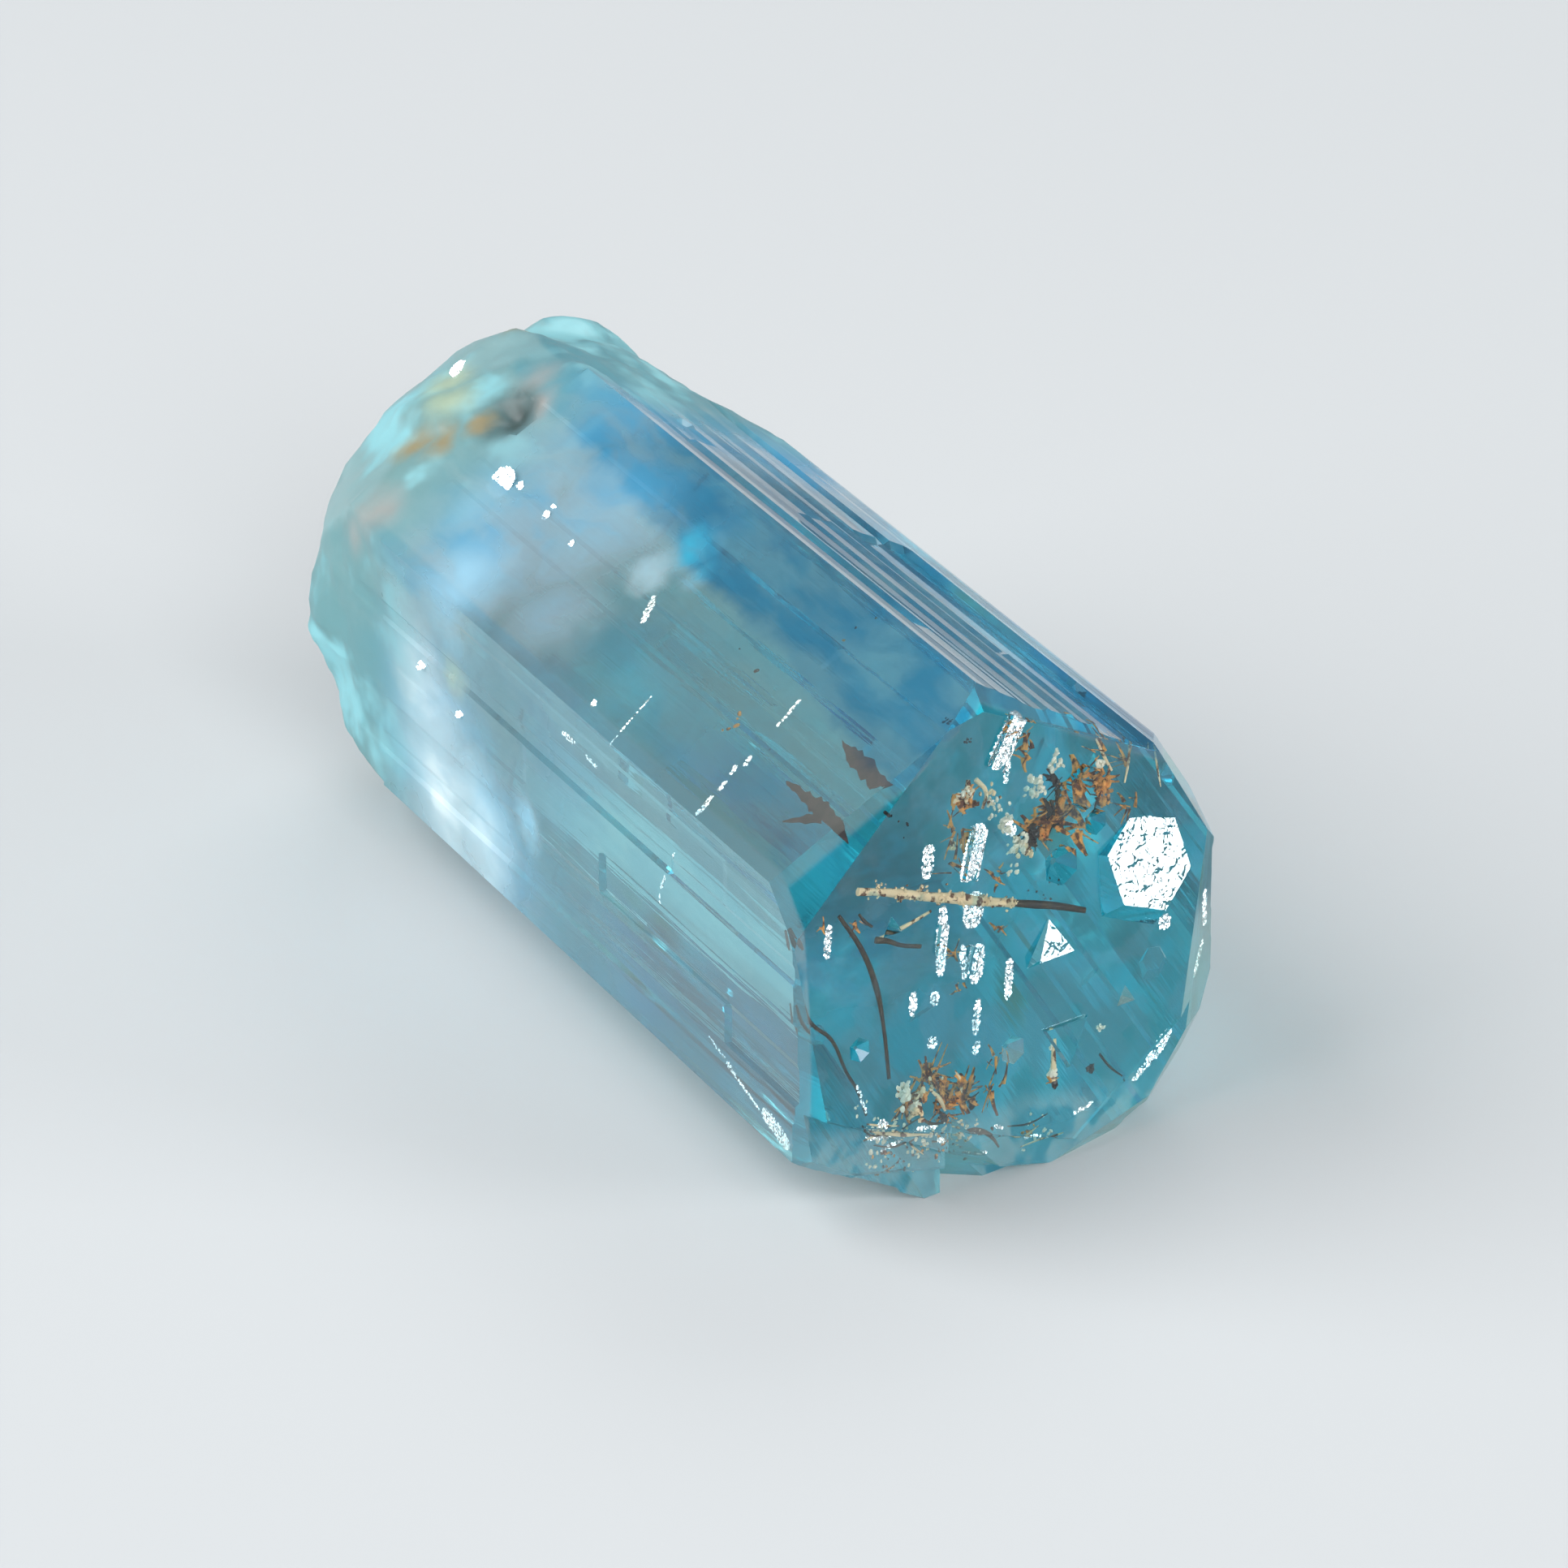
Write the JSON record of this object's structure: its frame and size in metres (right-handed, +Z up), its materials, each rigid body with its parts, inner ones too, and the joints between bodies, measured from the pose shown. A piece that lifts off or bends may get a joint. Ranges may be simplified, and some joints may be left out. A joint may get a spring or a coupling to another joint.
{
  "type": "aquamarine crystal",
  "caption": "Loose six-sided aquamarine prism lying on a worn edge, with a broken lumpy root and a bevelled end face carrying growth plates, etch pits and a chipped rim",
  "frame": {"origin": "middle of the footprint of the crystal's box, on the surface that it rests on", "axes": "+X runs along the crystal from its broken root to its end face, +Z is up from the worn edge that it rests on, +Y completes a right-handed frame"},
  "size_m": [0.02, 0.009, 0.0088],
  "materials": {
    "aquamarine": "clear and glossy towards the end face, milky and frosted at the root"
  },
  "bodies": {
    "root": {"aquamarine_crystal": "aquamarine"}
  },
  "joints": []
}
